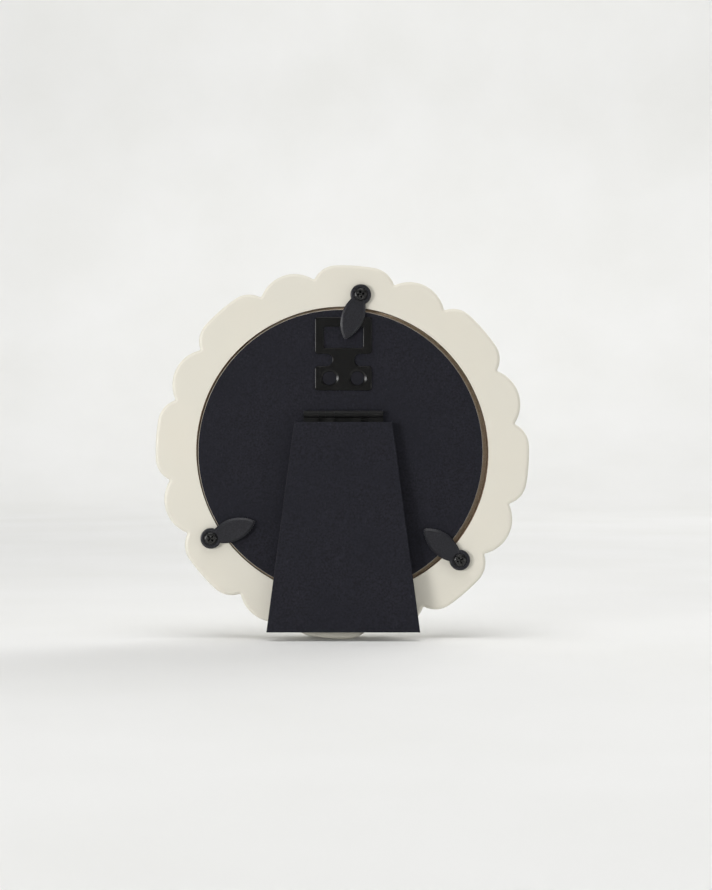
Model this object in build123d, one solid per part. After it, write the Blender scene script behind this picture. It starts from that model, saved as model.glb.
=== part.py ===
from build123d import *
import os
from cmath import rect
from math import cos, radians, sin, sqrt

# Round scalloped photo frame with an easel stand, a sheet hanger and three turn buttons.
# All sizes are in millimetres, all angles in degrees.
# Every piece is drawn as it is seen from behind: X to the right, Y up from the ring's centre,
# and Z outward from the ring's back face. The last lines stand the frame upright on its lowest
# lobe, with +Z up, its front towards -Y and its back towards +Y.

# Ring
rebate_radius = 64.75
rim_width = 18.65
sight_lip = 4.25
lobe_pairs = 8
wide_lobe_angle = 86.0
crest_half_angle = 6.0
shoulder_radius = 11.0
narrow_lobe_radius = 15.8
narrow_lobe_setback = 0.45
notch_radius = 0.7
frame_depth = 18.0
back_edge_round = 1.6
front_edge_round = 5.0
sight_edge_round = 7.5
rebate_edge_round = 0.4

# Pane, sheet and board, stacked in the rebate
glazing_thickness = 2.0
glazing_clearance = 1.5
insert_thickness = 0.3
insert_clearance = 1.5
board_thickness = 2.5
board_clearance = 1.2
board_side_gap = 0.4
facing_thickness = 0.25
facing_margin = 0.2

# Turn buttons: where each eye stands round the ring and outside the rebate, where its tongue points,
# and how far its screw's cross is turned
top_eye_angle = 83.3
top_eye_setback = 5.8
top_tongue_angle = 250.0
top_screw_turn = 12.0
left_eye_angle = 213.3
left_eye_setback = 5.25
left_tongue_angle = 20.6
left_screw_turn = 45.0
right_eye_angle = 317.4
right_eye_setback = 6.3
right_tongue_angle = 139.1
right_screw_turn = 28.0
eye_radius = 4.6
eye_height = 2.2
eye_edge_round = 0.6
tongue_length = 21.3
tongue_half_width = 5.0
tongue_widest_at = 11.1
tongue_base_half = 1.2
tongue_thickness = 1.4
tongue_clearance = 0.2
tongue_bevel_width = 0.9
tongue_bevel_depth = 0.6
tongue_tip_round = 1.0
swivel_gap = 0.05

# Button screws
screw_head_radius = 2.75
screw_head_height = 1.5
screw_head_round = 0.9
screw_seat_gap = 0.6
screw_seat_depth = 0.4
screw_shank_radius = 1.2
screw_depth = 10.0
screw_point = 2.0
screw_fit = 0.02
recess_span = 3.2
recess_root = 1.2
recess_width = 0.8
recess_depth = 1.7

# Hanger, hung below the rebate's top by a gap, with all the hardware shifted off the ring's centre
hardware_shift = 0.5
hanger_gap = 4.65
hanger_sheet = 0.8
hanger_width = 25.3
hanger_corner = 1.3
hanger_edge_round = 0.4
hanger_top_bar = 4.3
hanger_lower_bar = 2.7
window_width = 17.5
window_height = 9.4
window_corner = 0.8
neck_width = 9.8
neck_height = 5.4
rivet_plate_height = 10.9
hanger_rivet_spacing = 12.5
dish_radius = 4.1
dish_floor = 0.35

# Hanger and hinge rivets
hanger_rivet_head_radius = 3.0
hanger_rivet_head_height = 0.25
hinge_rivet_head_radius = 1.9
hinge_rivet_head_height = 0.4
rivet_shank_radius = 1.2
rivet_flare = 0.6
rivet_fit = 0.02

# Hinge, with its axis measured from the ring's centre. The board leaf has the middle knuckle and the
# two side ones, the stand leaf the inner ones between them and the outer ones at the ends.
hinge_height = 16.8
hinge_width = 35.5
middle_knuckle = 7.8
inner_knuckle = 4.1
side_knuckle = 3.1
knuckle_gap = 0.15
knuckle_lift = 0.1
leaf_sheet = 0.7
pin_radius = 0.85
pin_clearance = 0.05
board_leaf_length = 14.0
stand_leaf_length = 20.0
stand_leaf_notch = 4.6
board_rivet_spacing = 23.0
stand_rivet_spacing = 14.0
rivet_edge_margin = 4.0

# Stand, its foot a little above the level of the lowest lobe
stand_top_drop = 3.65
stand_foot_rise = 3.6
stand_top_width = 43.6
stand_foot_width = 67.8
stand_core_thickness = 2.0
stand_paper_thickness = 0.25
stand_fold_round = 0.4
stand_rest_angle = 3.5

# Places that follow from the sizes above
crest_radius = rebate_radius + rim_width
sight_radius = rebate_radius - sight_lip
glazing_face = -facing_thickness - board_thickness - insert_thickness
rebate_depth = glazing_thickness - glazing_face
insert_face = glazing_face + insert_thickness
board_face = insert_face + board_thickness
board_radius = rebate_radius - board_clearance
stack_centre = (board_side_gap - board_clearance, 0)
facing_radius = board_radius - facing_margin

button_places = {
    "top": (top_eye_angle, top_eye_setback),
    "left": (left_eye_angle, left_eye_setback),
    "right": (right_eye_angle, right_eye_setback),
}
tongue_angles = {"top": top_tongue_angle, "left": left_tongue_angle, "right": right_tongue_angle}
screw_turns = {"top": top_screw_turn, "left": left_screw_turn, "right": right_screw_turn}
tongue_floor = hanger_sheet + tongue_clearance
screw_seat = swivel_gap + eye_height - screw_seat_depth
screw_head_floor = screw_seat + swivel_gap
screw_head_top = screw_head_floor + screw_head_height

window_end_height = hanger_lower_bar + window_height + hanger_top_bar
hanger_floor = rebate_radius - hanger_gap - window_end_height - neck_height - rivet_plate_height

knuckle_bore = pin_radius + pin_clearance
barrel_radius = knuckle_bore + leaf_sheet
hinge_lift = barrel_radius + knuckle_lift
stand_leaf_floor = hinge_lift - leaf_sheet / 2
liner_floor = stand_leaf_floor + leaf_sheet
core_floor = liner_floor + stand_paper_thickness
core_face = core_floor + stand_core_thickness
stand_face = core_face + stand_paper_thickness
hinge_axis = Axis((hardware_shift, hinge_height, hinge_lift), (-1, 0, 0))

foot_drop = hinge_height + crest_radius - stand_foot_rise
foot_turn = radians(stand_rest_angle)
fold_lift = stand_face - stand_fold_round - hinge_lift
fold_drop = foot_drop - stand_fold_round
rear_reach = hinge_lift + fold_lift * cos(foot_turn) + fold_drop * sin(foot_turn) + stand_fold_round


def polar(radius, angle):
    """Point of the drawing at a radius and an angle from the ring's centre."""
    return rect(radius, radians(angle))


def flat(point):
    """Pair of numbers for a point of the drawing."""
    return (point.real, point.imag)


def bow(centre, radius, start, end):
    """Arc about a centre from start to end, the short way round."""
    sag = start + end - 2 * centre
    middle = centre + sag * (radius / abs(sag))
    return ThreePointArc(flat(start), flat(middle), flat(end))


def outer_crossing(centre_a, radius_a, centre_b, radius_b):
    """Where two circles cross, on the side away from the ring's centre."""
    span = abs(centre_b - centre_a)
    unit = (centre_b - centre_a) / span
    along = (span**2 + radius_a**2 - radius_b**2) / (2 * span)
    across = sqrt(radius_a**2 - along**2)
    return max((centre_a + unit * complex(along, side) for side in (-across, across)), key=abs)


def lobe_pair(crest_angle):
    """Tangent arcs of one wide lobe and the narrow lobe after it."""
    narrow_angle = crest_angle + 180 / lobe_pairs
    shoulder = polar(crest_radius - shoulder_radius, crest_angle + crest_half_angle)
    narrow = polar(crest_radius - narrow_lobe_setback - narrow_lobe_radius, narrow_angle)
    shoulder_reach = shoulder_radius + notch_radius
    narrow_reach = narrow_lobe_radius + notch_radius
    notch = outer_crossing(shoulder, shoulder_reach, narrow, narrow_reach)
    crest_start = polar(crest_radius, crest_angle - crest_half_angle)
    crest_end = polar(crest_radius, crest_angle + crest_half_angle)
    shoulder_end = shoulder + (notch - shoulder) * (shoulder_radius / shoulder_reach)
    narrow_start = narrow + (notch - narrow) * (narrow_lobe_radius / narrow_reach)

    def mirrored(point):
        return point.conjugate() * polar(1, 2 * narrow_angle)

    return [
        bow(0, crest_radius, crest_start, crest_end),
        bow(shoulder, shoulder_radius, crest_end, shoulder_end),
        bow(notch, notch_radius, shoulder_end, narrow_start),
        bow(narrow, narrow_lobe_radius, narrow_start, mirrored(narrow_start)),
        bow(mirrored(notch), notch_radius, mirrored(narrow_start), mirrored(shoulder_end)),
        bow(mirrored(shoulder), shoulder_radius, mirrored(shoulder_end), mirrored(crest_end)),
    ]


def column(radius, floor, top, place=(0, 0)):
    """Upright cylinder between two levels."""
    return Pos(*place, floor) * extrude(Circle(radius), top - floor)


def funnel(ring_a, ring_b, place=(0, 0)):
    """Upright cone frustum between two rings, each a level and a radius."""
    (floor, floor_radius), (top, top_radius) = sorted((ring_a, ring_b))
    shape = Cone(floor_radius, top_radius, top - floor, align=(Align.CENTER, Align.CENTER, Align.MIN))
    return Pos(*place, floor) * shape


def round_edges(piece, radius, level):
    """Circular edges of a piece that have a radius and lie at a level."""
    near = 1e-6
    circles = piece.edges().filter_by(GeomType.CIRCLE)
    alike = [edge for edge in circles if abs(edge.radius - radius) < near]
    return [edge for edge in alike if abs(edge.center().Z - level) < near]


def eye_places():
    """Centre of each button's eye on the ring, by name."""
    places = {}
    for name, (angle, setback) in button_places.items():
        places[name] = flat(polar(rebate_radius + setback, angle))
    return places


def make_frame():
    """Scalloped ring: rounded lobes, sight opening, rebate and the screws' pilot holes."""
    arcs = []
    for pair in range(lobe_pairs):
        arcs += lobe_pair(wide_lobe_angle + 360 / lobe_pairs * pair)
    ring = extrude(make_face(arcs), -frame_depth)
    ring = fillet(ring.faces().sort_by(Axis.Z)[-1].edges(), back_edge_round)
    ring = fillet(ring.faces().sort_by(Axis.Z)[0].edges(), front_edge_round)
    ring -= column(sight_radius, -frame_depth, 0)
    ring = fillet(round_edges(ring, sight_radius, -frame_depth), sight_edge_round)
    ring -= column(rebate_radius, -rebate_depth, 0)
    ring = fillet(round_edges(ring, rebate_radius, 0), rebate_edge_round)
    for place in eye_places().values():
        ring -= screw_body(place, screw_fit)
    return ring


def screw_body(place, spare=0):
    """Screw's shank and point, with room to spare all round for its pilot hole."""
    radius = screw_shank_radius + spare
    shoulder = screw_point - screw_depth
    shank = column(radius, shoulder, screw_head_floor, place)
    return shank + funnel((-screw_depth, spare), (shoulder, radius), place)


def make_screw(place, turn):
    """Pan-head screw with a cross recess that tapers to its root."""
    head = column(screw_head_radius, screw_head_floor, screw_head_top, place)
    head = fillet(head.edges().group_by(Axis.Z)[-1], screw_head_round)
    mouth = recess_span / 2
    root = recess_root / 2
    corners = [(-mouth, 0), (-root, -recess_depth), (root, -recess_depth), (mouth, 0)]
    wing = make_face(Polyline(*corners, close=True))
    blade = extrude(Rot(90, 0, 0) * wing, recess_width / 2, both=True)
    cross = blade + Rot(0, 0, 90) * blade
    return head + screw_body(place) - Pos(*place, screw_head_top) * Rot(0, 0, turn) * cross


def make_button(place, tongue_angle):
    """Leaf-shaped turn button: an eye that sits on the ring and a raised tongue that holds the board."""
    sides = [Line((0, -tongue_base_half), (0, tongue_base_half))]
    for side in (1, -1):
        widest = (tongue_widest_at, side * tongue_half_width)
        sides.append(ThreePointArc((0, side * tongue_base_half), widest, (tongue_length, 0)))
    tongue = Pos(0, 0, tongue_floor) * extrude(make_face(sides), tongue_thickness)
    tongue = fillet(tongue.edges().filter_by(Axis.Z).sort_by(Axis.X)[-1], tongue_tip_round)
    face = tongue.faces().sort_by(Axis.Z)[-1]
    tongue = chamfer(face.edges(), tongue_bevel_width, tongue_bevel_depth, reference=face)
    eye = column(eye_radius, swivel_gap, swivel_gap + eye_height)
    eye = fillet(eye.edges().group_by(Axis.Z)[-1], eye_edge_round)
    button = eye + tongue
    button -= column(screw_head_radius + screw_seat_gap, screw_seat, screw_head_top)
    button -= column(screw_shank_radius + swivel_gap, 0, screw_seat)
    return Pos(*place, 0) * Rot(0, 0, tongue_angle) * button


def pair_places(spacing, height):
    """Two places side by side about the hardware's centre line."""
    return [(hardware_shift + side * spacing / 2, height) for side in (-1, 1)]


# Each set of rivets: places, head radius and height, level of the head's seat, level of the tail's end
rivet_sets = {
    "hanger_rivets": (
        pair_places(hanger_rivet_spacing, hanger_floor + rivet_plate_height / 2),
        (hanger_rivet_head_radius, hanger_rivet_head_height),
        (dish_floor, insert_face),
    ),
    "hinge_board_rivets": (
        pair_places(board_rivet_spacing, hinge_height - board_leaf_length + rivet_edge_margin),
        (hinge_rivet_head_radius, hinge_rivet_head_height),
        (leaf_sheet, insert_face),
    ),
    "hinge_stand_rivets": (
        pair_places(stand_rivet_spacing, hinge_height - stand_leaf_length + rivet_edge_margin),
        (hinge_rivet_head_radius, hinge_rivet_head_height),
        (stand_leaf_floor, core_face),
    ),
}


def rivet_shaft(place, levels, spare=0):
    """Rivet's shank and its flared tail, with room to spare all round for its hole."""
    seat, tail = levels
    radius = rivet_shank_radius + spare
    flare = rivet_flare if seat > tail else -rivet_flare
    shank = column(radius, min(levels), max(levels), place)
    return shank + funnel((tail, radius + rivet_flare), (tail + flare, radius), place)


def make_rivets(name):
    """Rivets of one set, each with a flat head and a flared tail that ends flush."""
    places, (head_radius, head_height), levels = rivet_sets[name]
    seat, tail = levels
    head_top = seat + head_height if seat > tail else seat - head_height
    rivets = []
    for place in places:
        head = column(head_radius, min(seat, head_top), max(seat, head_top), place)
        rivets.append(head + rivet_shaft(place, levels))
    return group(rivets)


def drilled(piece, *names):
    """Piece with the holes of one or more sets of rivets."""
    for name in names:
        places, _, levels = rivet_sets[name]
        for place in places:
            piece -= rivet_shaft(place, levels, rivet_fit)
    return piece


def group(solids):
    """Like pieces that share one node."""
    return Compound(children=list(solids))


def make_glazing():
    """Clear pane on the rebate's floor, pushed to one side with what lies on it."""
    return column(rebate_radius - glazing_clearance, -rebate_depth, glazing_face, stack_centre)


def make_insert():
    """Blank sheet behind the pane, under the board."""
    return column(rebate_radius - insert_clearance, glazing_face, insert_face, stack_centre)


def make_board():
    """Die-cut backing board, pushed to one side of the rebate."""
    board = column(board_radius, insert_face, board_face, stack_centre)
    return drilled(board, "hanger_rivets", "hinge_board_rivets")


def make_facing():
    """Black facing paper on the board."""
    facing = column(facing_radius, board_face, 0, stack_centre)
    return drilled(facing, "hanger_rivets", "hinge_board_rivets")


def make_hanger():
    """Sheet hanger: window end, waisted neck and rivet plate with two dished holes."""
    neck_floor = rivet_plate_height
    end_floor = neck_floor + neck_height
    waist = neck_height / 2
    lower = Pos(0, rivet_plate_height / 2)
    lower *= RectangleRounded(hanger_width, rivet_plate_height, hanger_corner)
    upper = Pos(0, end_floor + window_end_height / 2)
    upper *= RectangleRounded(hanger_width, window_end_height, hanger_corner)
    neck = Pos(0, neck_floor + waist) * Rectangle(neck_width + neck_height, neck_height)
    for side in (-1, 1):
        neck -= Pos(side * (neck_width / 2 + waist), neck_floor + waist) * Circle(waist)
    window = Pos(0, end_floor + hanger_lower_bar + window_height / 2)
    window *= RectangleRounded(window_width, window_height, window_corner)
    plate = Pos(hardware_shift, hanger_floor, 0) * extrude(lower + neck + upper - window, hanger_sheet)
    plate = fillet(plate.edges().group_by(Axis.Z)[-1], hanger_edge_round)
    for place in rivet_sets["hanger_rivets"][0]:
        dish_ring = (dish_floor, hanger_rivet_head_radius + rivet_fit)
        plate -= funnel(dish_ring, (hanger_sheet, dish_radius), place)
    return drilled(plate, "hanger_rivets")


def hinge_spans():
    """Left ends and widths of the knuckles, the board leaf's first and then the stand leaf's."""
    outer_knuckle = (hinge_width - middle_knuckle) / 2 - inner_knuckle - side_knuckle
    half = [outer_knuckle, side_knuckle, inner_knuckle]
    spans = []
    start = -hinge_width / 2
    for width in [*half, middle_knuckle, *reversed(half)]:
        spans.append((start, width))
        start += width
    stand = [(start + knuckle_gap, width - 2 * knuckle_gap) for start, width in spans[0::2]]
    return spans[1::2], stand


def leaf_slab(start, width, low, high, floor):
    """Flat stretch of a hinge leaf, below the hinge's axis by low to high."""
    slab = Rectangle(width, high - low, align=(Align.MIN, Align.MAX))
    return Pos(hardware_shift + start, hinge_height - low, floor) * extrude(slab, leaf_sheet)


def knuckle(start, width):
    """Rolled knuckle about the hinge's axis, not bored."""
    return Pos(hardware_shift + start, hinge_height, hinge_lift) * Rot(0, 90, 0) * extrude(
        Circle(barrel_radius), width
    )


def make_leaf(spans, floor, flat_start, length):
    """Hinge leaf: rolled knuckles, each with its tongue, and the flat they share."""
    leaf = leaf_slab(-hinge_width / 2, hinge_width, flat_start, length, floor)
    for start, width in spans:
        leaf += leaf_slab(start, width, 0, flat_start, floor)
        leaf += knuckle(start, width)
    bore = Pos(hardware_shift - hinge_width / 2, hinge_height, hinge_lift) * Rot(0, 90, 0)
    return leaf - bore * extrude(Circle(knuckle_bore), hinge_width)


def make_board_leaf():
    """Leaf that is riveted to the board, under the stand."""
    leaf = make_leaf(hinge_spans()[0], 0, barrel_radius + knuckle_gap, board_leaf_length)
    return drilled(leaf, "hinge_board_rivets")


def make_stand_leaf():
    """Leaf that is riveted to the stand's inner side, notched to below the stand's top edge."""
    leaf = make_leaf(hinge_spans()[1], stand_leaf_floor, stand_leaf_notch, stand_leaf_length)
    return drilled(leaf, "hinge_stand_rivets")


def make_pin():
    """Hinge pin through all the knuckles."""
    ends = Pos(hardware_shift - hinge_width / 2, hinge_height, hinge_lift) * Rot(0, 90, 0)
    return ends * extrude(Circle(pin_radius), hinge_width)


def stand_blank(inset, floor, top):
    """Stand's tapered outline between two levels, drawn in from its sides."""
    top_half = stand_top_width / 2 - inset
    foot_half = stand_foot_width / 2 - inset
    corners = [
        (-top_half, -stand_top_drop - inset),
        (-foot_half, -foot_drop + inset),
        (foot_half, -foot_drop + inset),
        (top_half, -stand_top_drop - inset),
    ]
    outline = make_face(Polyline(*corners, close=True))
    return Pos(hardware_shift, hinge_height, floor) * extrude(outline, top - floor)


def make_core():
    """Stand's board core."""
    return drilled(stand_blank(stand_paper_thickness, core_floor, core_face), "hinge_stand_rivets")


def make_stand_face():
    """Black paper over the stand's face, turned down over the core's edges."""
    cover = stand_blank(0, core_floor, stand_face)
    cover = fillet(cover.edges().group_by(Axis.Z)[-1], stand_fold_round)
    return cover - stand_blank(stand_paper_thickness, core_floor, core_face)


def make_liner():
    """Paper on the stand's inner side."""
    return drilled(stand_blank(0, liner_floor, core_floor), "hinge_stand_rivets")


pieces = {
    "scalloped_frame": make_frame(),
    "glazing_disc": make_glazing(),
    "insert_sheet": make_insert(),
    "backing_board": make_board(),
    "backing_paper": make_facing(),
    "hanger_plate": make_hanger(),
    "hanger_rivets": make_rivets("hanger_rivets"),
    "hinge_board_leaf": make_board_leaf(),
    "hinge_board_rivets": make_rivets("hinge_board_rivets"),
    "hinge_pin": make_pin(),
    "turn_button_screws": group(make_screw(place, screw_turns[name]) for name, place in eye_places().items()),
}
for button, place in eye_places().items():
    pieces["turn_button_" + button] = make_button(place, tongue_angles[button])
stand_pieces = {
    "hinge_stand_leaf": make_stand_leaf(),
    "hinge_stand_rivets": make_rivets("hinge_stand_rivets"),
    "stand_liner_paper": make_liner(),
    "stand_core": make_core(),
    "stand_face_paper": make_stand_face(),
}
for name, piece in stand_pieces.items():
    pieces[name] = piece.rotate(hinge_axis, stand_rest_angle)

# Upright, with the lowest lobe on the ground and the depth centred on the origin
upright = Plane(
    origin=(0, (frame_depth - rear_reach) / 2, crest_radius),
    x_dir=(-1, 0, 0),
    z_dir=(0, 1, 0),
)
os.makedirs("parts", exist_ok=True)
for name, piece in pieces.items():
    export_step(upright.location * piece, f"parts/{name}.step")
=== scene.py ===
import math
from functools import partial

import bmesh
import bpy
from bpy.props import FloatProperty, FloatVectorProperty, PointerProperty
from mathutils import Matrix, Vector


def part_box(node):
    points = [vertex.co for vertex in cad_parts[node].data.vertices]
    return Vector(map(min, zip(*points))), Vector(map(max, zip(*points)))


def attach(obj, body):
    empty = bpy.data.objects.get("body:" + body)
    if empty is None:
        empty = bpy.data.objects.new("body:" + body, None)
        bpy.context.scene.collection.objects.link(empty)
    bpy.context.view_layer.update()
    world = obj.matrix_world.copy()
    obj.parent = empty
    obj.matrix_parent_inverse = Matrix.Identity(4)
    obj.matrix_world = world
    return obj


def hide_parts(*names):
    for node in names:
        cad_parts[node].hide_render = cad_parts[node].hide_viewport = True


bl_info = {
    "name": "Scalloped photo frame",
    "version": (1, 0, 0),
    "blender": (4, 5, 0),
    "location": "View3D > Sidebar > Photo frame",
    "description": "Finishes and lights a round scalloped photo frame, seen from its back",
    "category": "Object",
}

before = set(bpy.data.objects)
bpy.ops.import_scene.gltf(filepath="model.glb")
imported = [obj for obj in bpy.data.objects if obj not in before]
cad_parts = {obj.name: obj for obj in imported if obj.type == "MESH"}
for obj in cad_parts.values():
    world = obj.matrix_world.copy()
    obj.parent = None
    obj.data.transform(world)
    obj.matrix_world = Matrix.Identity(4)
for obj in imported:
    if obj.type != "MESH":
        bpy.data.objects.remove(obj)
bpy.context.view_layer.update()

MILLIMETRE = 0.001

# Photograph: 712 x 890 pixels, with the ring's centre and the scale on the ring's back face
PHOTO_WIDTH = 712
PHOTO_HEIGHT = 890
RING_PIXEL = (342.3, 452.0)
PIXEL_SIZE = 0.4457 * MILLIMETRE
SENSOR = 36.0

# Places read from the frame
ring_low, ring_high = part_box("scalloped_frame")
pane_low, pane_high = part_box("glazing_disc")
RING_CENTRE = (ring_low + ring_high) / 2
REBATE_FIT = 1.5 * MILLIMETRE
REBATE_RADIUS = (pane_high.x - pane_low.x) / 2 + REBATE_FIT
REBATE_FLOOR = pane_low.y

# The spray ends on a ragged, slightly oval line at the rebate's mouth, widest from side to side,
# and a little way down its wall
PAINT_LINE_SWELL = 0.49 * MILLIMETRE
PAINT_LINE_TURN = math.radians(-20)
PAINT_LINE_DEPTH = ring_high.y - 0.35 * MILLIMETRE
PAINT_LINE_SWING = 0.06 * MILLIMETRE
PAINT_LINE_BLUR = 0.04 * MILLIMETRE
RAW_SILL = 0.06 * MILLIMETRE     # depth over which paint gives way to raw board

# The rebate's raw wall is painted dark brown from a little above its floor: painted shade for the
# narrow gap round the board
WALL_SHADE_START = REBATE_FLOOR + 0.2 * MILLIMETRE
WALL_SHADE_FULL = REBATE_FLOOR + 0.8 * MILLIMETRE

# Pane: its ground edge, and the film of air between it and the sheet behind it
PANE_ARRIS = 0.3 * MILLIMETRE
PANE_AIR = 0.05 * MILLIMETRE
PANE_STEPS = 192
GLASS_HEAD_ON = 0.04     # share of the light that one face of glass mirrors when seen head on
GLASS_RISE = 5.0         # power by which that share rises towards a grazing view

# Most values of a noise pattern lie in this span
NOISE_SPAN = {"From Min": 0.3, "From Max": 0.7}

# Rubbing on edges: it shows where the cosine between the flat and the rounded normal falls from one
# value to the other, in patches of this width
RUB_SPAN = {"From Min": 0.985, "From Max": 0.8}
RUB_PATCH_MM = 2.2
RUB_PATCH_SPAN = {"From Min": 0.42, "From Max": 0.62}

PAINT_IOR = 1.48
RAW_ROUGHNESS = 0.92

# Studio cove: facets round it and in its bend
COVE_STEPS = 96
COVE_BEND_STEPS = 16
MERGE_DISTANCE = 0.01 * MILLIMETRE

# Studio lamps: place, aim and two sides of each, in metres, and the width of its beam in degrees
LAMPS = {
    "key_window": ((1.22, 1.34, 0.22), RING_CENTRE, (0.55, 0.4), 80),
    "edge_window": ((1.9, 0.4, 0.24), RING_CENTRE, (0.6, 0.45), 60),
    "fill_window": ((-1.7, 0.65, 0.3), RING_CENTRE, (0.6, 0.6), 60),
    "top_softbox": ((0.1, 0.6, 2.7), (0.0, 0.2, 0.0), (2.6, 2.2), 120),
    "front_window": ((-1.1, -1.3, 1.1), RING_CENTRE, (1.5, 1.5), 80),
    "backdrop_wash": ((0.0, -1.0, 2.5), (0.0, -2.4, 0.7), (2.4, 0.6), 95),
}
GLOSS_LAMPS = ("edge_window",)     # these only draw lines on glossy edges


def linear(code):
    """Linear colour for an sRGB hex code."""
    channels = [int(code[i : i + 2], 16) / 255 for i in (0, 2, 4)]
    return [c / 12.92 if c <= 0.04045 else ((c + 0.055) / 1.055) ** 2.4 for c in channels]


def per_metre(millimetres):
    """Texture scale that gives a pattern features of a real size."""
    return 1 / (millimetres * MILLIMETRE)


def add(tree, kind, inputs=None, out=0, **settings):
    """Adds a node with its settings, fills or links its inputs, and gives back one of its outputs."""
    made = tree.nodes.new(kind)
    for name, value in settings.items():
        setattr(made, name, value)
    for name, value in (inputs or {}).items():
        if isinstance(value, bpy.types.NodeSocket):
            tree.links.new(value, made.inputs[name])
        else:
            made.inputs[name].default_value = value
    return made.outputs[out] if made.outputs else None


def start_material(name):
    """New empty material, the call that adds its nodes, and the piece's own coordinates."""
    material = bpy.data.materials.new(name)
    material.use_nodes = True
    material.node_tree.nodes.clear()
    node = partial(add, material.node_tree)
    place = node("ShaderNodeTexCoord", out="Object")
    return material, node, place


def laid_over(node, under, colour, pattern, low, high, most=1.0):
    """Colour with another one laid over it where a pattern rises from low to high.

    The Mix node has sockets of one name for each kind of data, so its colours go by place.
    """
    span = {"Value": pattern, "From Min": low, "From Max": high, "To Max": most}
    share = node("ShaderNodeMapRange", span)
    return node("ShaderNodeMix", {0: share, 6: under, 7: colour}, out=2, data_type="RGBA")


def worn_edges(node, place, width):
    """Share from 0 to 1 along outer edges, broken up as real rubbing is."""
    soft = node("ShaderNodeBevel", {"Radius": width}, samples=6)
    hard = node("ShaderNodeNewGeometry", out="Normal")
    facing = node("ShaderNodeVectorMath", {0: soft, 1: hard}, out="Value", operation="DOT_PRODUCT")
    edge = node("ShaderNodeMapRange", {"Value": facing, **RUB_SPAN})
    grain = {"Vector": place, "Scale": per_metre(RUB_PATCH_MM), "Detail": 4.0}
    patch = node("ShaderNodeTexNoise", grain)
    rub = node("ShaderNodeMapRange", {"Value": patch, **RUB_PATCH_SPAN})
    return node("ShaderNodeMath", {0: edge, 1: rub}, operation="MULTIPLY")


def raw_rebate(node, place):
    """Share from 0 to 1 on the rebate's wall and floor, up to a ragged line at its mouth."""
    swell = PAINT_LINE_SWELL / REBATE_RADIUS
    oval = {
        "Vector": place,
        "Location": RING_CENTRE,
        "Rotation": (0.0, PAINT_LINE_TURN, 0.0),
        "Scale": (1 + swell, 1, 1 - swell),
    }
    centred = node("ShaderNodeMapping", oval, vector_type="TEXTURE")
    flat = node("ShaderNodeVectorMath", {0: centred, 1: (1, 0, 1)}, operation="MULTIPLY")
    radius = node("ShaderNodeVectorMath", {0: flat}, out="Value", operation="LENGTH")
    ragged = node("ShaderNodeTexNoise", {"Vector": place, "Scale": per_metre(0.9), "Detail": 3.0})
    swing = {
        "Value": ragged,
        "From Min": 0.2,
        "From Max": 0.8,
        "To Min": -PAINT_LINE_SWING,
        "To Max": PAINT_LINE_SWING,
    }
    jitter = node("ShaderNodeMapRange", swing)
    mouth = node("ShaderNodeMath", {0: radius, 1: jitter}, operation="ADD")
    line = {
        "Value": mouth,
        "From Min": REBATE_RADIUS - PAINT_LINE_BLUR,
        "From Max": REBATE_RADIUS + PAINT_LINE_BLUR,
        "To Min": 1.0,
        "To Max": 0.0,
    }
    inside = node("ShaderNodeMapRange", line)
    depth = node("ShaderNodeSeparateXYZ", {"Vector": place}, out="Y")
    floor = {
        "Value": depth,
        "From Min": REBATE_FLOOR - 2 * RAW_SILL,
        "From Max": REBATE_FLOOR - RAW_SILL,
    }
    behind = node("ShaderNodeMapRange", floor)
    below = {
        "Value": depth,
        "From Min": PAINT_LINE_DEPTH - RAW_SILL,
        "From Max": PAINT_LINE_DEPTH,
        "To Min": 1.0,
        "To Max": 0.0,
    }
    deep = node("ShaderNodeMapRange", below)
    widest = REBATE_RADIUS + 2 * PAINT_LINE_SWELL
    within = node("ShaderNodeMath", {0: radius, 1: widest}, operation="LESS_THAN")
    wall = node("ShaderNodeMath", {0: deep, 1: within}, operation="MULTIPLY")
    bare = node("ShaderNodeMath", {0: inside, 1: wall}, operation="MAXIMUM")
    return node("ShaderNodeMath", {0: bare, 1: behind}, operation="MULTIPLY")


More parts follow.
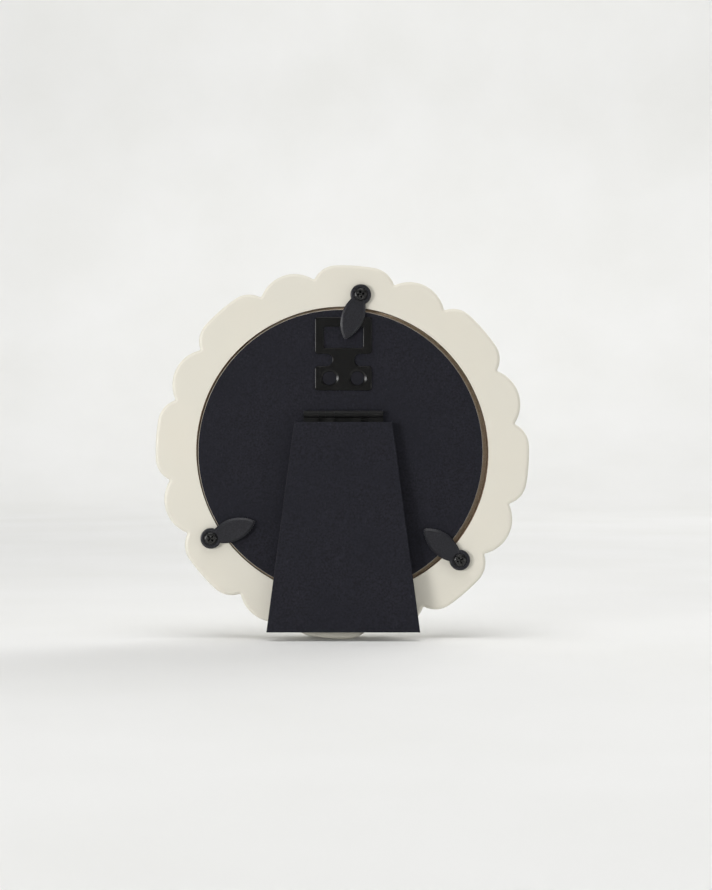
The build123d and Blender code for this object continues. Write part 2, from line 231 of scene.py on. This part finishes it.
def satin_paint(look):
    """Sprayed satin paint on fibreboard, which stays raw and brown inside the rebate.

    The eye sees a soft warm white with a faint orange peel, a slight bloom on the rounded edges,
    and a ragged line of paint at the rebate's mouth with fuzzy brown board below it, its wall in
    painted shade.
    """
    material, node, place = start_material("satin_paint_on_fibreboard")
    cloud = node("ShaderNodeTexNoise", {"Vector": place, "Scale": per_metre(34), "Detail": 3.0})
    orange = {"Vector": place, "Scale": per_metre(look.peel_mm), "Detail": 2.0}
    peel = node("ShaderNodeTexNoise", orange)
    dust = node("ShaderNodeTexNoise", {"Vector": place, "Scale": per_metre(0.35), "Detail": 1.0})
    fuzz = node("ShaderNodeTexNoise", {"Vector": place, "Scale": per_metre(0.5), "Detail": 5.0})
    raw = raw_rebate(node, place)

    paint = laid_over(node, (*look.paint, 1), (*look.paint_cloud, 1), cloud, 0.3, 0.7)
    thin = worn_edges(node, place, 0.9 * MILLIMETRE)
    paint = laid_over(node, paint, (*look.paint_thin, 1), thin, 0.0, 1.0, 0.35)
    fibre = laid_over(node, (*look.fibreboard, 1), (*look.fibre_dark, 1), fuzz, 0.35, 0.65)
    depth = node("ShaderNodeSeparateXYZ", {"Vector": place}, out="Y")
    # painted shade: the rebate's raw wall turns dark brown from a little above its floor
    fibre = laid_over(node, fibre, (*look.wall_painted_shade, 1), depth, WALL_SHADE_START, WALL_SHADE_FULL)
    colour = laid_over(node, paint, fibre, raw, 0.0, 1.0)

    satin = node("ShaderNodeMapRange", {"Value": dust, **NOISE_SPAN, "To Min": 0.42, "To Max": 0.54})
    gloss = node("ShaderNodeMapRange", {"Value": raw, "To Min": satin, "To Max": RAW_ROUGHNESS})
    ripple = node("ShaderNodeBump", {"Height": peel, "Strength": 0.5, "Distance": 0.02 * MILLIMETRE})
    fine = {"Height": dust, "Strength": 0.25, "Distance": 0.01 * MILLIMETRE, "Normal": ripple}
    skin = {"Base Color": colour, "Roughness": gloss, "Normal": node("ShaderNodeBump", fine)}
    skin["IOR"] = PAINT_IOR
    node("ShaderNodeOutputMaterial", {"Surface": node("ShaderNodeBsdfPrincipled", skin)})
    return material


def facing_paper(look):
    """Black dyed facing paper, calendered, pasted on board.

    The eye sees a bluish black with a fine mottle of fibres, nearly no gloss, and grey rubbing
    on folds. Real fibres are finer than a pixel, so the mottle is as coarse as it needs to show.
    """
    material, node, place = start_material("black_facing_paper")
    grain = {"Vector": place, "Scale": per_metre(look.mottle_mm), "Detail": 4.0}
    mottle = node("ShaderNodeTexNoise", grain)
    cloud = node("ShaderNodeTexNoise", {"Vector": place, "Scale": per_metre(22), "Detail": 2.0})
    machine_way = {"Vector": place, "Rotation": (0.0, 0.6, 0.0), "Scale": (1, 1, 0.25)}
    along = node("ShaderNodeMapping", machine_way)
    strands = {"Vector": along, "Scale": per_metre(0.45), "Detail": 2.0, "Distortion": 0.6}
    fibre = node("ShaderNodeTexNoise", strands)
    rub = worn_edges(node, place, 0.45 * MILLIMETRE)

    colour = laid_over(node, (*look.paper, 1), (*look.paper_fibre, 1), mottle, 0.32, 0.68)
    colour = laid_over(node, colour, (*look.paper_cloud, 1), cloud, 0.35, 0.65, 0.4)
    colour = laid_over(node, colour, (*look.paper_fleck, 1), fibre, 0.66, 0.74, 0.5)
    colour = laid_over(node, colour, (*look.paper_rub, 1), rub, 0.0, 1.0, 0.6)

    gloss = node("ShaderNodeMapRange", {"Value": mottle, **NOISE_SPAN, "To Min": 0.62, "To Max": 0.8})
    coarse = node("ShaderNodeBump", {"Height": fibre, "Strength": 0.35, "Distance": 0.03 * MILLIMETRE})
    fine = {"Height": mottle, "Strength": 0.4, "Distance": 0.04 * MILLIMETRE, "Normal": coarse}
    skin = {"Base Color": colour, "Roughness": gloss, "Normal": node("ShaderNodeBump", fine)}
    skin["Specular IOR Level"] = 0.12
    node("ShaderNodeOutputMaterial", {"Surface": node("ShaderNodeBsdfPrincipled", skin)})
    return material


def stove_enamel(look):
    """Black stove enamel on stamped sheet steel.

    The eye sees a smooth deep black with bright lines where its rounded edges turn to the light,
    and a trace of grey where handling has thinned them.
    """
    material, node, place = start_material("black_enamel_on_sheet_steel")
    flow = node("ShaderNodeTexNoise", {"Vector": place, "Scale": per_metre(1.6), "Detail": 2.0})
    haze = node("ShaderNodeTexNoise", {"Vector": place, "Scale": per_metre(6), "Detail": 4.0})
    rub = worn_edges(node, place, 0.3 * MILLIMETRE)

    colour = laid_over(node, (*look.enamel, 1), (*look.enamel_haze, 1), haze, 0.3, 0.7)
    colour = laid_over(node, colour, (*look.enamel_rub, 1), rub, 0.0, 1.0, 0.12)
    gloss = node("ShaderNodeMapRange", {"Value": haze, **NOISE_SPAN, "To Min": 0.22, "To Max": 0.27})
    ripple = node("ShaderNodeBump", {"Height": flow, "Strength": 0.12, "Distance": 0.01 * MILLIMETRE})
    skin = {"Base Color": colour, "Roughness": gloss, "Normal": ripple, "Specular IOR Level": 0.27}
    node("ShaderNodeOutputMaterial", {"Surface": node("ShaderNodeBsdfPrincipled", skin)})
    return material


def black_oxide(look):
    """Black oxide on the rolled steel of the hinge.

    The eye sees a dull even black, a little greyer than enamel, with an oily sheen along the barrel.
    """
    material, node, place = start_material("black_oxide_on_rolled_steel")
    drawn = node("ShaderNodeMapping", {"Vector": place, "Scale": (0.1, 1, 1)})
    streak = node("ShaderNodeTexNoise", {"Vector": drawn, "Scale": per_metre(0.4), "Detail": 3.0})
    bloom = node("ShaderNodeTexNoise", {"Vector": place, "Scale": per_metre(4), "Detail": 3.0})
    rub = worn_edges(node, place, 0.2 * MILLIMETRE)
    colour = laid_over(node, (*look.oxide, 1), (*look.oxide_streak, 1), streak, 0.3, 0.7)
    colour = laid_over(node, colour, (*look.oxide_bloom, 1), bloom, 0.45, 0.7, 0.5)
    colour = laid_over(node, colour, (*look.enamel_rub, 1), rub, 0.0, 1.0, 0.3)
    gloss = node("ShaderNodeMapRange", {"Value": bloom, **NOISE_SPAN, "To Min": 0.45, "To Max": 0.55})
    lines = node("ShaderNodeBump", {"Height": streak, "Strength": 0.15, "Distance": 0.02 * MILLIMETRE})
    skin = {"Base Color": colour, "Roughness": gloss, "Normal": lines, "Specular IOR Level": 0.16}
    node("ShaderNodeOutputMaterial", {"Surface": node("ShaderNodeBsdfPrincipled", skin)})
    return material


def matt_lacquer(look):
    """Matt black lacquer on pressed aluminium rivets.

    The eye sees flat discs as dull and bluish as the paper round them, with a fine pressed tooth.
    """
    material, node, place = start_material("matt_lacquer_on_rivets")
    tooth = node("ShaderNodeTexNoise", {"Vector": place, "Scale": per_metre(0.5), "Detail": 3.0})
    rub = worn_edges(node, place, 0.2 * MILLIMETRE)
    colour = laid_over(node, (*look.lacquer, 1), (*look.lacquer_dust, 1), tooth, 0.35, 0.7)
    colour = laid_over(node, colour, (*look.enamel_rub, 1), rub, 0.0, 1.0, 0.3)
    gloss = node("ShaderNodeMapRange", {"Value": tooth, **NOISE_SPAN, "To Min": 0.58, "To Max": 0.7})
    press = node("ShaderNodeBump", {"Height": tooth, "Strength": 0.3, "Distance": 0.02 * MILLIMETRE})
    skin = {"Base Color": colour, "Roughness": gloss, "Normal": press, "Specular IOR Level": 0.15}
    node("ShaderNodeOutputMaterial", {"Surface": node("ShaderNodeBsdfPrincipled", skin)})
    return material


def sand_coat(look):
    """Sandy black powder coat on die-cast zinc.

    The eye sees a dry black with a fine sparkle of grit and a paler line on the rounded rim.
    Real grit is finer than a pixel, so it is drawn as coarse as it needs to show.
    """
    material, node, place = start_material("sandy_powder_coat_on_zinc")
    sand = {"Vector": place, "Scale": per_metre(look.grit_mm), "Detail": 3.0}
    grit = node("ShaderNodeTexNoise", sand)
    lump = node("ShaderNodeTexVoronoi", {"Vector": place, "Scale": per_metre(0.7)})
    rub = worn_edges(node, place, 0.4 * MILLIMETRE)

    colour = laid_over(node, (*look.coat, 1), (*look.coat_grit, 1), grit, 0.35, 0.68)
    colour = laid_over(node, colour, (*look.coat_rub, 1), rub, 0.0, 1.0, 0.25)
    gloss = node("ShaderNodeMapRange", {"Value": grit, **NOISE_SPAN, "To Min": 0.46, "To Max": 0.34})
    bed = node("ShaderNodeBump", {"Height": lump, "Strength": 0.3, "Distance": 0.04 * MILLIMETRE})
    fine = {"Height": grit, "Strength": 0.6, "Distance": 0.05 * MILLIMETRE, "Normal": bed}
    skin = {"Base Color": colour, "Roughness": gloss, "Normal": node("ShaderNodeBump", fine)}
    skin["Specular IOR Level"] = 0.34
    node("ShaderNodeOutputMaterial", {"Surface": node("ShaderNodeBsdfPrincipled", skin)})
    return material


def black_zinc(look):
    """Black zinc plate on a turned steel screw.

    The eye sees dark bare metal with small lights on the head's round edge and in the cross recess.
    """
    material, node, place = start_material("black_zinc_on_steel")
    stain = node("ShaderNodeTexNoise", {"Vector": place, "Scale": per_metre(0.8), "Detail": 4.0})
    rub = worn_edges(node, place, 0.25 * MILLIMETRE)
    colour = laid_over(node, (*look.zinc, 1), (*look.zinc_stain, 1), stain, 0.3, 0.7)
    colour = laid_over(node, colour, (*look.zinc_rub, 1), rub, 0.0, 1.0, 0.6)
    gloss = node("ShaderNodeMapRange", {"Value": stain, **NOISE_SPAN, "To Min": 0.24, "To Max": 0.38})
    pits = node("ShaderNodeBump", {"Height": stain, "Strength": 0.25, "Distance": 0.02 * MILLIMETRE})
    skin = {"Base Color": colour, "Metallic": 1.0, "Roughness": gloss, "Normal": pits}
    node("ShaderNodeOutputMaterial", {"Surface": node("ShaderNodeBsdfPrincipled", skin)})
    return material


def grey_board(look):
    """Raw die-cut grey board, pressed in layers.

    The eye sees a dull grey-tan edge with fine lines along its layers and a rough fuzzy cut.
    """
    material, node, place = start_material("raw_die_cut_board")
    pressed = node("ShaderNodeMapping", {"Vector": place, "Scale": (0.12, 1, 0.12)})
    layer = node("ShaderNodeTexNoise", {"Vector": pressed, "Scale": per_metre(0.35), "Detail": 3.0})
    fuzz = node("ShaderNodeTexNoise", {"Vector": place, "Scale": per_metre(0.4), "Detail": 4.0})
    colour = laid_over(node, (*look.board, 1), (*look.board_layer, 1), layer, 0.32, 0.68)
    colour = laid_over(node, colour, (*look.board_fleck, 1), fuzz, 0.55, 0.75, 0.6)
    gloss = node("ShaderNodeMapRange", {"Value": fuzz, **NOISE_SPAN, "To Min": 0.85, "To Max": 0.97})
    cut = node("ShaderNodeBump", {"Height": fuzz, "Strength": 0.6, "Distance": 0.06 * MILLIMETRE})
    skin = {"Base Color": colour, "Roughness": gloss, "Normal": cut, "Specular IOR Level": 0.25}
    node("ShaderNodeOutputMaterial", {"Surface": node("ShaderNodeBsdfPrincipled", skin)})
    return material


def uncoated_sheet(look):
    """Blank uncoated wood-free paper.

    The eye sees a plain matt white with a faint cloudy formation.
    """
    material, node, place = start_material("uncoated_white_paper")
    formation = node("ShaderNodeTexNoise", {"Vector": place, "Scale": per_metre(3.5), "Detail": 5.0})
    tooth = node("ShaderNodeTexNoise", {"Vector": place, "Scale": per_metre(0.4), "Detail": 2.0})
    colour = laid_over(node, (*look.sheet, 1), (*look.sheet_cloud, 1), formation, 0.3, 0.7)
    gloss = node("ShaderNodeMapRange", {"Value": tooth, **NOISE_SPAN, "To Min": 0.8, "To Max": 0.92})
    grain = node("ShaderNodeBump", {"Height": tooth, "Strength": 0.3, "Distance": 0.02 * MILLIMETRE})
    skin = {"Base Color": colour, "Roughness": gloss, "Normal": grain, "Specular IOR Level": 0.3}
    node("ShaderNodeOutputMaterial", {"Surface": node("ShaderNodeBsdfPrincipled", skin)})
    return material


def clear_pane(look):
    """Clear float glass, polished on both sides.

    The eye sees what lies behind it, under a sharp reflection that grows towards a grazing view,
    with a trace of wiping smears in its gloss.
    """
    material, node, place = start_material("clear_float_glass")
    strokes = {"Vector": place, "Rotation": (0.0, 0.5, 0.0), "Scale": (1, 1, 0.2)}
    wiped = node("ShaderNodeMapping", strokes)
    smear = node("ShaderNodeTexNoise", {"Vector": wiped, "Scale": per_metre(9), "Detail": 3.0})
    wipe = {"Value": smear, "From Min": 0.4, "From Max": 0.7, "To Min": 0.03, "To Max": 0.12}
    gloss = node("ShaderNodeMapRange", wipe)
    wave = node("ShaderNodeBump", {"Height": smear, "Strength": 0.05, "Distance": 0.02 * MILLIMETRE})
    shine = node("ShaderNodeBsdfGlossy", {"Color": (1, 1, 1, 1), "Roughness": gloss, "Normal": wave})
    through = node("ShaderNodeBsdfTransparent", {"Color": (*look.glass, 1)})
    slant = node("ShaderNodeLayerWeight", {"Blend": 0.5, "Normal": wave}, out="Facing")
    rise = node("ShaderNodeMath", {0: slant, 1: GLASS_RISE}, operation="POWER")
    share = node("ShaderNodeMapRange", {"Value": rise, "To Min": GLASS_HEAD_ON, "To Max": 1.0})
    glass = node("ShaderNodeMixShader", {0: share, 1: through, 2: shine})
    node("ShaderNodeOutputMaterial", {"Surface": glass})
    return material


def pale_backdrop(look):
    """Matt painted studio cove, with the faint cloud of a rolled coat."""
    material, node, place = start_material("matt_studio_paint")
    cloud = node("ShaderNodeTexNoise", {"Vector": place, "Scale": per_metre(160), "Detail": 3.0})
    roller = node("ShaderNodeTexNoise", {"Vector": place, "Scale": per_metre(1.6), "Detail": 2.0})
    colour = laid_over(node, (*look.cove, 1), (*look.cove_cloud, 1), cloud, 0.3, 0.7)
    stipple = node("ShaderNodeBump", {"Height": roller, "Strength": 0.2, "Distance": 0.1 * MILLIMETRE})
    skin = {"Base Color": colour, "Roughness": 0.85, "Normal": stipple, "Specular IOR Level": 0.2}
    node("ShaderNodeOutputMaterial", {"Surface": node("ShaderNodeBsdfPrincipled", skin)})
    return material


def colour_property(name, description, code):
    """Colour that a user may change, with its sRGB hex code as the default."""
    return FloatVectorProperty(
        name=name,
        description=description,
        default=linear(code),
        subtype="COLOR",
        size=3,
        min=0.0,
        max=1.0,
    )


def grain_property(name, description, width):
    """Width of a pattern in millimetres that a user may change."""
    return FloatProperty(name=name, description=description, default=width, min=0.1, max=6.0)


def length_property(name, description, length):
    """Length in metres that a user may change."""
    return FloatProperty(name=name, description=description, default=length, unit="LENGTH")


def lamp_property(name, description, power):
    """Power of a lamp in watts that a user may change."""
    return FloatProperty(name=name, description=description, default=power, min=0.0, unit="POWER")


class FrameFinish(bpy.types.PropertyGroup):
    """Colours and grain sizes of the frame's finishes."""

    paint: colour_property("Paint", "Satin paint of the ring", "DAD6CA")
    paint_cloud: colour_property("Paint cloud", "Slightly warmer passes of the spray", "DCD7CA")
    paint_thin: colour_property("Thin paint", "Paint worn thin on outer edges", "CFC8B6")
    fibreboard: colour_property("Fibreboard", "Raw board inside the rebate", "CCB8A0")
    fibre_dark: colour_property("Dark fibre", "Darker fibres of that board", "B29D85")
    # Painted shade: dark brown laid on the rebate's raw wall above its floor, not a mark of the cutter
    wall_painted_shade: colour_property("Burnt fibre", "Wall of the rebate, browned by the cutter", "624F3C")
    peel_mm: grain_property("Orange peel", "Width of the paint's ripples in millimetres", 1.3)
    paper: colour_property("Paper", "Black facing paper", "16161B")
    paper_fibre: colour_property("Paper fibre", "Paler mottle of the paper", "25252D")
    paper_cloud: colour_property("Paper cloud", "Broad cloud in the paper's dye", "1B1C23")
    paper_fleck: colour_property("Paper fleck", "Single fibres that took less dye", "32323A")
    paper_rub: colour_property("Paper rub", "Rubbed folds of the paper", "60606A")
    mottle_mm: grain_property("Mottle", "Width of the paper's mottle in millimetres", 0.9)
    enamel: colour_property("Enamel", "Black enamel of the hanger", "030303")
    enamel_haze: colour_property("Enamel haze", "Duller patches of the enamel", "060606")
    enamel_rub: colour_property("Enamel rub", "Enamel thinned on edges", "3A3A3C")
    oxide: colour_property("Black oxide", "Rolled steel of the hinge", "0F0F10")
    oxide_streak: colour_property("Oxide streak", "Streaks along the rolled steel", "131313")
    oxide_bloom: colour_property("Oxide bloom", "Dull bloom on that steel", "191919")
    lacquer: colour_property("Lacquer", "Matt lacquer of the rivets", "121218")
    lacquer_dust: colour_property("Lacquer dust", "Paler tooth of that lacquer", "1A1A21")
    coat: colour_property("Powder coat", "Sandy black coat of the turn buttons", "111116")
    coat_grit: colour_property("Grit", "Paler grains of the coat", "212128")
    coat_rub: colour_property("Coat rub", "Coat rubbed on the rim", "58585C")
    grit_mm: grain_property("Grit width", "Width of the coat's grains in millimetres", 0.4)
    zinc: colour_property("Black zinc", "Plated screws", "464646")
    zinc_stain: colour_property("Zinc stain", "Darker stain of the plating", "2E2E2E")
    zinc_rub: colour_property("Zinc rub", "Plating rubbed on edges", "A6A6A6")
    board: colour_property("Board", "Raw die-cut board", "CCC2B2")
    board_layer: colour_property("Board layer", "Darker layers of the board", "ADA394")
    board_fleck: colour_property("Board fleck", "Pale fibres of the board", "D9D1C4")
    sheet: colour_property("Sheet", "Blank sheet in the picture's place", "ECEAE4")
    sheet_cloud: colour_property("Sheet cloud", "Cloudy formation of that sheet", "E8E6DF")
    glass: colour_property("Glass", "Tint of the clear pane", "FEFEFE")
    cove: colour_property("Cove", "Paint of the studio cove", "EDEDEC")
    cove_cloud: colour_property("Cove cloud", "Faint cloud in that paint", "E9E9E7")


class FrameStage(bpy.types.PropertyGroup):
    """Sizes of the studio round the frame and the power of its lamps."""

    camera_distance: length_property("Camera distance", "From the ring's back face", 0.85)
    cove_radius: length_property("Cove radius", "Inside the wall", 2.4)
    cove_bend: length_property("Cove bend", "Between floor and wall", 0.7)
    cove_height: length_property("Cove height", "Top of the wall", 2.8)
    key_window: lamp_property("Key light", "Low wide window at the left of the back", 2.75)
    edge_window: lamp_property("Edge light", "Grazing window for lines on edges at the left", 1.6)
    fill_window: lamp_property("Fill light", "Weak window for faint lines on edges at the right", 0.35)
    top_softbox: lamp_property("Top light", "Softbox above the back", 25.5)
    front_window: lamp_property("Front light", "Light on the picture side", 4.0)
    backdrop_wash: lamp_property("Backdrop light", "Wash on the wall beyond the picture side", 12.5)
    air: FloatProperty(
        name="Air",
        description="Even light from all round",
        default=0.05,
        min=0.0,
        max=4.0,
    )


def dress(material, *names):
    """Gives CAD pieces one material."""
    for name in names:
        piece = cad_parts[name]
        piece.data.materials.clear()
        piece.data.materials.append(material)


class FinishOperator:
    """Gives a group of like pieces one finish."""

    bl_options = {"REGISTER", "UNDO"}
    nodes = ()
    finish = None

    def execute(self, context):
        dress(type(self).finish(context.scene.photo_frame_finish), *self.nodes)
        return {"FINISHED"}


class PHOTOFRAME_OT_ring(FinishOperator, bpy.types.Operator):
    """Paint the scalloped ring and leave its rebate raw"""

    bl_idname = "photoframe.ring"
    bl_label = "Paint the ring"
    nodes = ("scalloped_frame",)
    finish = staticmethod(satin_paint)


def turn_mesh(name, profile, axis, centre, steps):
    """Mesh turned about an axis from a profile of points out from it and along it."""
    shape = bmesh.new()
    across = Vector((1, 0, 0))
    points = []
    for out, along in profile:
        points.append(shape.verts.new(Vector(centre) + out * across + along * Vector(axis)))
    edges = [shape.edges.new(pair) for pair in zip(points, points[1:])]
    turned = {"geom": points + edges, "axis": axis, "cent": centre, "angle": 2 * math.pi}
    bmesh.ops.spin(shape, steps=steps, use_merge=True, **turned)
    bmesh.ops.remove_doubles(shape, verts=shape.verts, dist=MERGE_DISTANCE)
    bmesh.ops.recalc_face_normals(shape, faces=shape.faces)
    mesh = bpy.data.meshes.new(name)
    shape.to_mesh(mesh)
    shape.free()
    return mesh


def build_pane(material):
    """Glass disc with ground edges in the pane's place, a film of air clear of the sheet."""
    middle = (pane_low + pane_high) / 2
    radius = (pane_high.x - pane_low.x) / 2
    front = pane_low.y
    back = pane_high.y - PANE_AIR
    profile = [
        (0.0, front),
        (radius - PANE_ARRIS, front),
        (radius, front + PANE_ARRIS),
        (radius, back - PANE_ARRIS),
        (radius - PANE_ARRIS, back),
        (0.0, back),
    ]
    centre = (middle.x, 0.0, middle.z)
    mesh = turn_mesh("float_glass_pane", profile, (0, 1, 0), centre, PANE_STEPS)
    mesh.materials.append(material)
    pane = bpy.data.objects.new("float_glass_pane", mesh)
    bpy.context.scene.collection.objects.link(pane)
    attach(pane, "frame")
    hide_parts("glazing_disc")


class PHOTOFRAME_OT_pane(bpy.types.Operator):
    """Glaze the sight opening"""

    bl_idname = "photoframe.pane"
    bl_label = "Glaze the opening"
    bl_options = {"REGISTER", "UNDO"}

    def execute(self, context):
        build_pane(clear_pane(context.scene.photo_frame_finish))
        return {"FINISHED"}


class PHOTOFRAME_OT_sheet(FinishOperator, bpy.types.Operator):
    """Lay the blank sheet in the picture's place"""

    bl_idname = "photoframe.sheet"
    bl_label = "Lay the blank sheet"
    nodes = ("insert_sheet",)
    finish = staticmethod(uncoated_sheet)


class PHOTOFRAME_OT_boards(FinishOperator, bpy.types.Operator):
    """Leave the cut boards raw"""

    bl_idname = "photoframe.boards"
    bl_label = "Cut the boards"
    nodes = ("backing_board", "stand_core")
    finish = staticmethod(grey_board)


class PHOTOFRAME_OT_papers(FinishOperator, bpy.types.Operator):
    """Face the board and the stand with black paper"""

    bl_idname = "photoframe.papers"
    bl_label = "Face with black paper"
    nodes = ("backing_paper", "stand_face_paper", "stand_liner_paper")
    finish = staticmethod(facing_paper)


class PHOTOFRAME_OT_hanger(FinishOperator, bpy.types.Operator):
    """Enamel the hanger"""

    bl_idname = "photoframe.hanger"
    bl_label = "Enamel the hanger"
    nodes = ("hanger_plate",)
    finish = staticmethod(stove_enamel)


class PHOTOFRAME_OT_hinge(FinishOperator, bpy.types.Operator):
    """Blacken the hinge"""

    bl_idname = "photoframe.hinge"
    bl_label = "Blacken the hinge"
    nodes = ("hinge_board_leaf", "hinge_stand_leaf", "hinge_pin")
    finish = staticmethod(black_oxide)


class PHOTOFRAME_OT_rivets(FinishOperator, bpy.types.Operator):
    """Lacquer the rivets"""

    bl_idname = "photoframe.rivets"
    bl_label = "Lacquer the rivets"
    nodes = ("hanger_rivets", "hinge_board_rivets", "hinge_stand_rivets")
    finish = staticmethod(matt_lacquer)


class PHOTOFRAME_OT_buttons(FinishOperator, bpy.types.Operator):
    """Powder coat the turn buttons"""

    bl_idname = "photoframe.buttons"
    bl_label = "Coat the turn buttons"
    nodes = ("turn_button_top", "turn_button_left", "turn_button_right")
    finish = staticmethod(sand_coat)


class PHOTOFRAME_OT_screws(FinishOperator, bpy.types.Operator):
    """Plate the button screws"""

    bl_idname = "photoframe.screws"
    bl_label = "Plate the screws"
    nodes = ("turn_button_screws",)
    finish = staticmethod(black_zinc)


def build_cove(stage, material):
    """Round studio cove: a floor that bends up into a wall all round."""
    profile = [(0.0, 0.0)]
    for step in range(COVE_BEND_STEPS + 1):
        turn = math.pi / 2 * step / COVE_BEND_STEPS
        out = stage.cove_radius - stage.cove_bend * (1 - math.sin(turn))
        profile.append((out, stage.cove_bend * (1 - math.cos(turn))))
    profile.append((stage.cove_radius, stage.cove_height))
    mesh = turn_mesh("studio_cove", profile, (0, 0, 1), (0, 0, 0), COVE_STEPS)
    for face in mesh.polygons:
        face.use_smooth = True
    mesh.materials.append(material)
    cove = bpy.data.objects.new("studio_cove", mesh)
    bpy.context.scene.collection.objects.link(cove)


def hang_lamp(name, power):
    """Soft rectangular lamp that points at its aim."""
    place, aim, sides, beam = LAMPS[name]
    lamp = bpy.data.lights.new(name, "AREA")
    lamp.shape = "RECTANGLE"
    lamp.size, lamp.size_y = sides
    lamp.spread = math.radians(beam)
    lamp.energy = power
    light = bpy.data.objects.new(name, lamp)
    light.location = place
    way = Vector(aim) - Vector(place)
    light.rotation_euler = way.to_track_quat("-Z", "Y").to_euler()
    light.visible_camera = False
    light.visible_diffuse = name not in GLOSS_LAMPS
    bpy.context.scene.collection.objects.link(light)


def fill_air(scene, strength):
    """Even white light from all round."""
    world = bpy.data.worlds.new("studio_air")
    world.use_nodes = True
    air = world.node_tree.nodes["Background"]
    air.inputs["Color"].default_value = (1.0, 1.0, 1.0, 1.0)
    air.inputs["Strength"].default_value = strength
    scene.world = world


def aim_camera(scene, distance):
    """Camera square to the back, with the photograph's scale and framing."""
    lens = bpy.data.cameras.new("photo_camera")
    lens.sensor_width = SENSOR
    lens.lens = SENSOR * distance / (PHOTO_HEIGHT * PIXEL_SIZE)
    across = (RING_PIXEL[0] - PHOTO_WIDTH / 2) * PIXEL_SIZE
    above = (RING_PIXEL[1] - PHOTO_HEIGHT / 2) * PIXEL_SIZE
    camera = bpy.data.objects.new("photo_camera", lens)
    camera.location = (across, ring_high.y + distance, RING_CENTRE.z + above)
    camera.rotation_euler = (math.radians(90), 0, math.radians(180))
    scene.collection.objects.link(camera)
    scene.camera = camera


class PHOTOFRAME_OT_stage(bpy.types.Operator):
    """Build the pale cove, its lamps and the camera at the photograph's view"""

    bl_idname = "photoframe.stage"
    bl_label = "Set the stage"
    bl_options = {"REGISTER", "UNDO"}

    def execute(self, context):
        scene = context.scene
        stage = scene.photo_frame_stage
        build_cove(stage, pale_backdrop(scene.photo_frame_finish))
        for name in LAMPS:
            hang_lamp(name, getattr(stage, name))
        fill_air(scene, stage.air)
        aim_camera(scene, stage.camera_distance)
        scene.view_settings.view_transform = "Standard"
        return {"FINISHED"}


OPERATORS = (
    PHOTOFRAME_OT_ring,
    PHOTOFRAME_OT_pane,
    PHOTOFRAME_OT_sheet,
    PHOTOFRAME_OT_boards,
    PHOTOFRAME_OT_papers,
    PHOTOFRAME_OT_hanger,
    PHOTOFRAME_OT_hinge,
    PHOTOFRAME_OT_rivets,
    PHOTOFRAME_OT_buttons,
    PHOTOFRAME_OT_screws,
    PHOTOFRAME_OT_stage,
)


class PHOTOFRAME_PT_panel(bpy.types.Panel):
    """Finishes and stage of the photo frame"""

    bl_idname = "PHOTOFRAME_PT_panel"
    bl_label = "Photo frame"
    bl_space_type = "VIEW_3D"
    bl_region_type = "UI"
    bl_category = "Photo frame"

    def draw(self, context):
        for operator in OPERATORS:
            self.layout.operator(operator.bl_idname)
        for settings in (context.scene.photo_frame_finish, context.scene.photo_frame_stage):
            for name in settings.__annotations__:
                self.layout.prop(settings, name)


CLASSES = (FrameFinish, FrameStage, *OPERATORS, PHOTOFRAME_PT_panel)


def register():
    """Adds the classes and the scene's settings."""
    for entry in CLASSES:
        bpy.utils.register_class(entry)
    bpy.types.Scene.photo_frame_finish = PointerProperty(type=FrameFinish)
    bpy.types.Scene.photo_frame_stage = PointerProperty(type=FrameStage)


def unregister():
    """Takes them away again."""
    del bpy.types.Scene.photo_frame_stage
    del bpy.types.Scene.photo_frame_finish
    for entry in reversed(CLASSES):
        bpy.utils.unregister_class(entry)


def main():
    """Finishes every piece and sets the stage."""
    register()
    bpy.ops.photoframe.ring()
    bpy.ops.photoframe.pane()
    bpy.ops.photoframe.sheet()
    bpy.ops.photoframe.boards()
    bpy.ops.photoframe.papers()
    bpy.ops.photoframe.hanger()
    bpy.ops.photoframe.hinge()
    bpy.ops.photoframe.rivets()
    bpy.ops.photoframe.buttons()
    bpy.ops.photoframe.screws()
    bpy.ops.photoframe.stage()


if __name__ == "__main__":
    main()
